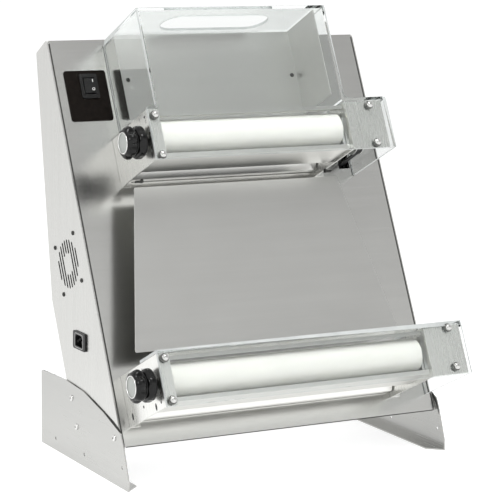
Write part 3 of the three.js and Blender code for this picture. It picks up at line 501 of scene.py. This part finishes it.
def arc(cx, cr, radius, start, end, steps=6):
    """Profile points on an arc round (cx, cr); angles in degrees, 0 along x, 90 along the radius."""
    out = []
    for k in range(steps + 1):
        a = math.radians(start + (end - start) * k / steps)
        out.append((cx + radius * math.cos(a), cr + radius * math.sin(a)))
    return out


def slab(bm, x0, x1, n0, n1, s0, s1):
    """A box drawn corner by corner; soften rounds its edges."""
    corners = [(x0, n0), (x1, n0), (x1, n1), (x0, n1)]
    loft(bm, [[(x, n, s0) for x, n in corners], [(x, n, s1) for x, n in corners]])


# ---------- carried CAD nodes ----------
def dress():
    """Gives every CAD node that stays its material, rounded edges and smooth shading."""
    groups = {
        ("face_steel", 0.5): ["front_panel"],
        ("side_steel_painted_shade", 0.6): ["side_panel_left", "side_panel_right", "back_panel"],
        ("foot_steel_painted_shade", 0.6): ["foot_left", "foot_right"],
        ("bracket_steel_painted_light", 0.5): ["upper_bracket_left", "upper_bracket_right", "lower_bracket_left",
                                 "lower_bracket_right"],
        ("chute_steel_painted_shade", 0.4): ["upper_chute", "lower_chute", "upper_top_bar", "lower_top_bar"],
        ("tray_steel_painted_light", 0.4): ["upper_tray", "lower_tray", "upper_scraper", "lower_scraper"],
        ("plain_steel", 0.3): ["bottom_plate", "lay_bracket", "upper_gap_frame", "lower_gap_frame"],
        ("machined_steel", 0.2): ["upper_front_shaft", "upper_rear_shaft", "lower_front_shaft",
                                  "lower_rear_shaft", "drive_shaft", "lay_shaft"],
        ("clear_acrylic", 0.45): ["upper_guard", "lower_guard"],
        ("film_black", 0.15): ["control_label"],
        ("black_plastic", 0.4): ["switch_frame", "power_inlet", "fan_frame", "fan_rotor", "switch_rocker"],
        ("cap_grey", 1.0): ["electrics_box"],
        ("belt_rubber", 0.3): ["transfer_belt", "upper_belt", "lower_belt"],
        ("cast_alloy", 0.8): ["motor", "gearbox"],
    }
    # The narrow faces of the guards get the light grey edge look: painted highlight along the edges.
    sheet_edges = edge_group(4, LOOKS["acrylic_edge_painted_highlight"])
    for (look, bevel), names in groups.items():
        for name in names:
            node = NODES[name]
            node.data.materials.clear()
            node.data.materials.append(LOOKS[look])
            soften(node, bevel, weld=True, edges=sheet_edges if look == "clear_acrylic" else None)


# ---------- rollers ----------
def rollers():
    """Turned white sleeves with rounded ends."""
    for tag, head in HEADS.items():
        s = head["s0"] + AXIS_S
        left, right = head["left"] + 2, head["right"]
        spans = {
            "rear": (left + 6, right - 1, REAR_AXIS_N),
            "front": (left + 5.7, right - 5.7, FRONT_AXIS_N),
        }
        for which, (x0, x1, n) in spans.items():
            r = ROLLER_RADIUS
            profile = [(x0, SHAFT_RADIUS + 0.3), (x0, r - 2.2)]
            profile += arc(x0 + 1.6, r - 1.6, 1.6, 180, 90, 5)
            profile += arc(x1 - 1.6, r - 1.6, 1.6, 90, 0, 5)
            profile += [(x1, r - 2.2), (x1, SHAFT_RADIUS + 0.3)]
            bm = bmesh.new()
            loft(bm, [ring_x(x, radius, n, s, 128) for x, radius in profile], closed=False)
            piece(f"{tag}_{which}_sleeve", bm, "roller_white", f"{tag}_{which}",
                  stands_for=[f"{tag}_{which}_roller"])


# ---------- knobs ----------
def knobs():
    """Knob of two scalloped rings with a groove between them, and a cap in a bright rim."""
    def lobes(depth):
        return lambda a: 1 - depth * math.pow(0.5 - 0.5 * math.cos(KNOB_LOBES * a), 1.6)

    for tag, head in HEADS.items():
        s = head["s0"] + head["knob"]
        base = head["left"]
        r = KNOB_RADIUS
        back = [(-1.8, 5.8, 0), (5.5, 5.8, 0), (5.5, r - 3.4, 0), (6.0, r - 1.8, 0.02),
                (7.2, r - 0.5, 0.05), (8.8, r, 0.07), (12, r, 0.08), (15, r - 0.5, 0.07),
                (16.8, r - 1.8, 0.05), (17.8, r - 3.8, 0.02)]
        groove = [(18.4, r - 5.8, 0), (19.4, r - 6.3, 0), (20.3, r - 5.8, 0)]
        front = [(20.9, r - 3.8, 0.05), (21.8, r - 1.9, 0.12), (23.4, r - 0.5, 0.17), (26, r, 0.2),
                 (29, r - 0.5, 0.19), (31.4, r - 1.6, 0.15), (33.2, r - 3.4, 0.09), (34.4, r - 5.4, 0.03)]
        mouth = [(34.9, CAP_RADIUS + 1.1, 0), (34.7, CAP_RADIUS + 0.4, 0), (32.4, CAP_RADIUS + 0.4, 0)]
        profile = back + groove + front + mouth
        bm = bmesh.new()
        loft(bm, [ring_x(base - t, radius, KNOB_N, s, 144, lobes(depth)) for t, radius, depth in profile])
        piece(f"{tag}_grip", bm, "knob_black", f"{tag}_dial", stands_for=[f"{tag}_knob"])

        front = head["left"] - KNOB_LENGTH
        edge = CAP_RADIUS
        disc = [(front + 2.8, edge - 0.1), (front + 1.2, edge - 0.1), (front + 1.0, edge - 1.2),
                (front + 1.6, edge - 1.8), (front + 1.6, 9), (front + 1.4, 4), (front + 1.3, 0.4)]
        bm = bmesh.new()
        turn_x(bm, disc, KNOB_N, s, 72)
        piece(f"{tag}_cap_disc", bm, "cap_grey", f"{tag}_dial",
              stands_for=[f"{tag}_knob_cap"])
        rim = arc(front + 0.75, edge - 0.95, 0.9, -90, 270, 14)[:-1]
        bm = bmesh.new()
        loft(bm, [ring_x(x, radius, KNOB_N, s, 96) for x, radius in rim], closed=False)
        piece(f"{tag}_cap_rim", bm, "bright_steel", f"{tag}_dial")


# ---------- nuts and screws ----------
def dome_profile(base, head, height):
    """Short straight part and dome, as (n, radius) from the washer outwards."""
    points = [(base, head - 0.2), (base + 0.2, head), (base + height * 0.35, head)]
    for k in range(1, 9):
        a = math.radians(90 * k / 8.5)
        points.append((base + height * (0.35 + 0.65 * math.sin(a)), head * math.cos(a)))
    return points


def nuts():
    """Dome nuts with washers on the studs that hold the clear guards."""
    out = GUARD_FRONT_N + 0.3
    for tag, places in NUTS.items():
        for k, (x, s) in enumerate(places):
            bm = bmesh.new()
            # Dark washer under each dome: painted shade ring round the nut.
            turn_n(bm, [(out, 6.0), (out + 0.2, 6.3), (out + 0.8, 6.3), (out + 1.0, 6.0)], x, s, 48)
            piece(f"{tag}_washer_{k + 1}", bm, "washer_steel_painted_shade", "casing")
            bm = bmesh.new()
            stem = [(HEAD_FRONT_N + 0.5, 2.6), (out + 0.9, 2.6)]
            turn_n(bm, stem + dome_profile(out + 0.9, 5.0, 5.2), x, s, 48)
            piece(f"{tag}_dome_{k + 1}", bm, "dome_steel", "casing",
                  stands_for=[f"{tag}_nut_{k + 1}"])


def button_screw(name, matrix, radius, look="bright_steel"):
    """Button-head screw with a hexagon socket, drawn round the matrix's z axis."""
    height = radius * 0.55
    profile = [(0, radius * 0.94), (0.3, radius), (height * 0.3, radius * 0.97)]
    for k in range(1, 6):
        a = math.radians(14 * k)
        rise = math.sin(a) / math.sin(math.radians(70))
        profile.append((height * (0.3 + 0.7 * rise), radius * math.cos(a)))
    bm = bmesh.new()
    count = 48
    rings = []
    for z, r in profile:
        rings.append([(r * math.cos(2 * math.pi * k / count), r * math.sin(2 * math.pi * k / count), z)
                      for k in range(count)])
    socket = radius * 0.42
    for z, grow in ((height, 1.06), (height - 0.25, 1.0), (height * 0.35, 1.0)):
        ring = []
        for k in range(count):
            a = 2 * math.pi * k / count
            side = math.cos(math.pi / 6) / math.cos((a % (math.pi / 3)) - math.pi / 6)
            ring.append((socket * grow * side * math.cos(a), socket * grow * side * math.sin(a), z))
        rings.append(ring)
    loft(bm, rings)
    piece(name, bm, look, "casing", at=matrix)


def facing(frame_matrix, centre, toward):
    """A frame whose z axis points along toward, at centre; both are given in frame_matrix."""
    turn = Vector(toward).to_track_quat("Z", "Y").to_matrix().to_4x4()
    return frame_matrix @ Matrix.Translation(centre) @ turn


def screws():
    """Screws of the feet, the chutes and the face."""
    for side, tag in ((-1, "left"), (1, "right")):
        for k, (y, z) in enumerate(((171, 92), (153, 53), (22.6, 66.5))):
            place = facing(TABLE, (side * (FOOT_OUTER - 0.05), y, z), (side, 0, 0))
            button_screw(f"foot_screw_{tag}_{k + 1}", place, 4.6)
    for k, (x, s) in enumerate(((-158.5, 531), (112, 530))):
        button_screw(f"chute_screw_{k + 1}", facing(FACE, (x, 39, s), (0, 1, 0)), 3.2, "dark_grey_and_painted_shadow")
    button_screw("face_screw", facing(FACE, (-163.5, 0.05, 507), (0, 1, 0)), 5.6)
    for k, (a, b) in enumerate(((-1, -1), (-1, 1), (1, -1), (1, 1))):
        place = facing(FACE, (-BODY_HALF - 0.05, -68 + a * 35.75, 290 + b * 35.75), (-1, 0, 0))
        button_screw(f"fan_screw_{k + 1}", place, 3.3, "dark_grey_and_painted_shadow")


# ---------- marks ----------
def text_piece(name, words, matrix, height, look, body="casing"):
    """Raised lettering: words lie in the matrix's xy plane, millimetres."""
    curve = bpy.data.curves.new(name, "FONT")
    curve.body = words
    curve.size = height
    curve.align_x = "CENTER"
    curve.align_y = "CENTER"
    curve.extrude = 0.06
    curve.resolution_u = 4
    holder = bpy.data.objects.new(name, curve)
    bpy.context.scene.collection.objects.link(holder)
    mesh = bpy.data.meshes.new_from_object(holder)
    bpy.data.objects.remove(holder)
    bm = bmesh.new()
    bm.from_mesh(mesh)
    bmesh.ops.remove_doubles(bm, verts=bm.verts, dist=0.001)
    piece(name, bm, look, body, at=matrix)


def dial_marks():
    """Numbers, index holes and slots round each thickness knob, on the outside of the left bracket; the
    holes and slots are flat black discs, painted shade for their depth.
    """
    marks = {
        "upper": {"digits": [("1", 99.5, 447), ("2", 118.4, 438)],
                  "holes": [(117, 445), (124, 418.6), (120, 409.5), (121, 398)],
                  "slots": [(119, 388)]},
        "lower": {"digits": [("0", 74, 92), ("5", 64, 82)],
                  "holes": [(118.5, 49), (116.4, 41), (114.6, 37), (57.4, 44)],
                  "slots": [(96.6, 34.6), (16.8, 39.7)]},
    }
    for tag, rows in marks.items():
        x = HEADS[tag]["left"]
        for k, (words, n, s) in enumerate(rows["digits"]):
            axes = Matrix(((0, 0, -1, x - 0.05), (1, 0, 0, n), (0, 1, 0, s), (0, 0, 0, 1)))
            text_piece(f"{tag}_digit_{k + 1}", words, FACE @ axes, 6.5, "ink_and_painted_hole_shade")
        # Index holes and slots are flat black discs: painted shade for their depth.
        for k, (n, s) in enumerate(rows["holes"]):
            bm = bmesh.new()
            turn_x(bm, [(x + 0.1, 2.0), (x - 0.12, 2.0), (x - 0.16, 1.7)], n, s, 24)
            piece(f"{tag}_index_{k + 1}", bm, "ink_and_painted_hole_shade", "casing")
        for k, (n, s) in enumerate(rows["slots"]):
            bm = bmesh.new()
            slot = ((-0.1, 5.2), (0.12, 5.2), (0.16, 4.8))
            loft(bm, [ring_x(x - out, size, n, s, 32, slot_shape) for out, size in slot])
            piece(f"{tag}_slot_{k + 1}", bm, "ink_and_painted_hole_shade", "casing")


def slot_shape(a):
    """Radius factor of a slot twice as high as it is wide."""
    return 1 / math.hypot(2 * math.cos(a), math.sin(a))


def rocker_marks():
    """Line and ring on the rocker, as on any mains switch."""
    x, s = -202, 537
    bm = bmesh.new()
    slab(bm, x - 0.5, x + 0.5, 6.15, 6.4, s + 5.0, s + 9.4)
    piece("rocker_line", bm, "print_white", "switch")
    bm = bmesh.new()
    turns = [2 * math.pi * k / 32 for k in range(32)]
    rings = []
    for r, n in ((1.5, 5.3), (2.2, 5.3), (2.2, 5.55), (1.5, 5.55)):
        rings.append([(x + r * math.cos(a), n, s - 5.5 + r * math.sin(a)) for a in turns])
    loft(bm, rings, closed=False)
    piece("rocker_ring", bm, "print_white", "switch")


def inlet_rim():
    """Raised grey line round the opening of the mains inlet: painted highlight on the opening's edge."""
    x, y, z = -BODY_HALF - 2.9, 144, 182

    def outline(half_y, half_z, corner, out):
        points = []
        for k, (sign_y, sign_z) in enumerate(((1, 1), (-1, 1), (-1, -1), (1, -1))):
            for turn in range(5):
                a = math.radians(90 * k + 22.5 * turn)
                points.append((x - out, y + sign_y * (half_y - corner) + corner * math.cos(a),
                               z + sign_z * (half_z - corner) + corner * math.sin(a)))
        return points

    bm = bmesh.new()
    rings = [outline(13.2, 9.4, 3, -0.1), outline(15.0, 11.2, 4.5, -0.1),
             outline(14.8, 11.0, 4.3, 0.3), outline(13.4, 9.6, 3.1, 0.3)]
    loft(bm, rings, closed=False)
    piece("inlet_rim", bm, "inlet_rim_painted_highlight", "casing", at=TABLE)


# ---------- casing trims and painted shade strips ---
def seams():
    """Dark strips where the front panel meets the side panels: painted shade in the joint."""
    for side, tag in ((-1, "left"), (1, "right")):
        bm = bmesh.new()
        inner, outer = side * (BODY_HALF - 4.2), side * (BODY_HALF - 2.35)
        slab(bm, min(inner, outer), max(inner, outer), -0.3, 0.28, 4, FACE_LENGTH - 6)
        piece(f"seam_{tag}", bm, "dark_grey_and_painted_shadow", "casing", bevel=0.1)


def lower_seam():
    """Dark strip along the bottom edge of the front panel: painted shade of the joint."""
    bm = bmesh.new()
    slab(bm, -BODY_HALF + 5, BODY_HALF - 5, -0.2, 0.28, 0.4, 1.7)
    piece("seam_bottom", bm, "dark_grey_and_painted_shadow", "casing", bevel=0.1)


def foot_contact_shadows():
    """Dark strip on the side panel along the curved top of each foot: painted contact shadow of the foot.
    """
    outline = [(-7.6, 58.5), (-2.5, 70), (8, 80), (30, 87.5), (60.6, 95),
               (95, 103), (130, 109.2), (160, 112), (190, 113.2), (281, 110.6)]
    for side, tag in ((-1, "left"), (1, "right")):
        inner, outer = side * (BODY_HALF + 0.05), side * (BODY_HALF + 0.25)
        bm = bmesh.new()
        rings = []
        for x in (inner, outer):
            low = [(x, y, z - 6) for y, z in outline]
            high = [(x, y, z + 1.3) for y, z in reversed(outline)]
            rings.append(low + high)
        loft(bm, rings)
        piece(f"foot_contact_shadow_{tag}", bm, "dark_grey_and_painted_shadow", "casing", at=TABLE)


def chute_return():
    """Left side of the upper chute, bent back to the face."""
    bm = bmesh.new()
    slab(bm, -167.5, -166.3, 0.6, 37.4, 466, 600.5)
    piece("chute_return", bm, "face_steel", "casing", bevel=0.3)


def chute_stops():
    """Small black stops at the upper corners of the lower chute."""
    for x0, x1, tag in ((-183, -171, "left"), (131, 143, "right")):
        bm = bmesh.new()
        slab(bm, x0, x1, 40, 45, 372.6, 375)
        slab(bm, x1 - 3 if tag == "left" else x0, x1 if tag == "left" else x0 + 3, 40, 45.5, 372, 377)
        piece(f"chute_stop_{tag}", bm, "dark_grey_and_painted_shadow", "casing", bevel=0.3)


# ---------- stage ----------
def stage():
    """Pale floor that glows a little more in front, the surroundings and three soft lamps."""
    bm = bmesh.new()
    bmesh.ops.create_grid(bm, x_segments=1, y_segments=1, size=FLOOR_HALF)
    mesh = bpy.data.meshes.new("floor")
    bm.to_mesh(mesh)
    bm.free()
    floor = bpy.data.objects.new("floor", mesh)
    bpy.context.scene.collection.objects.link(floor)
    look = Look("floor", (0.5, 0.5, 0.5), 0.9)
    look.shader.inputs["Emission Color"].default_value = (1, 1, 1, 1)
    place = look.add("ShaderNodeTexCoord")
    split = look.add("ShaderNodeSeparateXYZ")
    look.join(place.outputs["Object"], split.inputs["Vector"])
    glow = look.remap(split.outputs["Y"], FLOOR_GLOW_FRONT, FLOOR_GLOW_BACK, -0.5, 0.6)
    look.join(glow, look.shader.inputs["Emission Strength"])
    mesh.materials.append(look.material)

    surroundings()
    for name, (place, size, power) in LAMPS.items():
        data = bpy.data.lights.new(name, "AREA")
        data.size = size
        data.energy = power
        lamp = bpy.data.objects.new(name, data)
        lamp.location = place
        lamp.rotation_euler = (Vector(LAMP_AIM) - Vector(place)).to_track_quat("-Z", "Y").to_euler()
        bpy.context.scene.collection.objects.link(lamp)


def patch(nodes, links, place, side, start, end, amount):
    """Extra strength of the surroundings round one direction, fading with the angle from it."""
    toward = nodes.new("ShaderNodeVectorMath")
    toward.operation = "DOT_PRODUCT"
    toward.inputs[1].default_value = Vector(side).normalized()
    fade = nodes.new("ShaderNodeMapRange")
    fade.interpolation_type = "SMOOTHSTEP"
    fade.inputs["From Min"].default_value = start
    fade.inputs["From Max"].default_value = end
    fade.inputs["To Min"].default_value = 0.0
    fade.inputs["To Max"].default_value = amount
    links.new(place.outputs["Generated"], toward.inputs[0])
    links.new(toward.outputs["Value"], fade.inputs["Value"])
    return fade.outputs["Result"]


def surroundings():
    """White studio with the darker and brighter parts that STUDIO lists."""
    world = bpy.data.worlds.new("studio")
    bpy.context.scene.world = world
    world.use_nodes = True
    nodes, links = world.node_tree.nodes, world.node_tree.links
    place = nodes.new("ShaderNodeTexCoord")
    total = None
    for side, start, end, amount in STUDIO:
        part = patch(nodes, links, place, side, start, end, amount)
        add = nodes.new("ShaderNodeMath")
        add.operation = "ADD"
        add.inputs[1].default_value = STUDIO_LEVEL
        links.new(part, add.inputs[0])
        if total:
            links.new(total, add.inputs[1])
        total = add.outputs["Value"]
    links.new(total, nodes["Background"].inputs["Strength"])
    nodes["Background"].inputs["Color"].default_value = (1.0, 1.0, 0.995, 1)


def camera():
    """Long lens in front of the machine, to its left and a little above."""
    data = bpy.data.cameras.new("camera")
    data.sensor_width = 36
    data.lens = CAMERA_LENS
    data.clip_end = 200
    obj = bpy.data.objects.new("camera", data)
    yaw, pitch, roll = (math.radians(v) for v in (CAMERA_YAW, CAMERA_PITCH, CAMERA_ROLL))
    ahead = Vector((math.sin(yaw) * math.cos(pitch), math.cos(yaw) * math.cos(pitch), -math.sin(pitch)))
    right = Vector((math.cos(yaw), -math.sin(yaw), 0))
    up = right.cross(ahead)
    tilted_right = right * math.cos(roll) + up * math.sin(roll)
    tilted_up = up * math.cos(roll) - right * math.sin(roll)
    turn = Matrix((tilted_right, tilted_up, -ahead)).transposed().to_4x4()
    obj.matrix_world = Matrix.Translation(TABLE @ Vector(CAMERA_PLACE)) @ turn
    bpy.context.scene.collection.objects.link(obj)
    bpy.context.scene.camera = obj


dress()
rollers()
knobs()
nuts()
screws()
dial_marks()
rocker_marks()
inlet_rim()
seams()
lower_seam()
foot_contact_shadows()
chute_return()
chute_stops()
stage()
camera()
bpy.context.scene.view_settings.view_transform = "Standard"
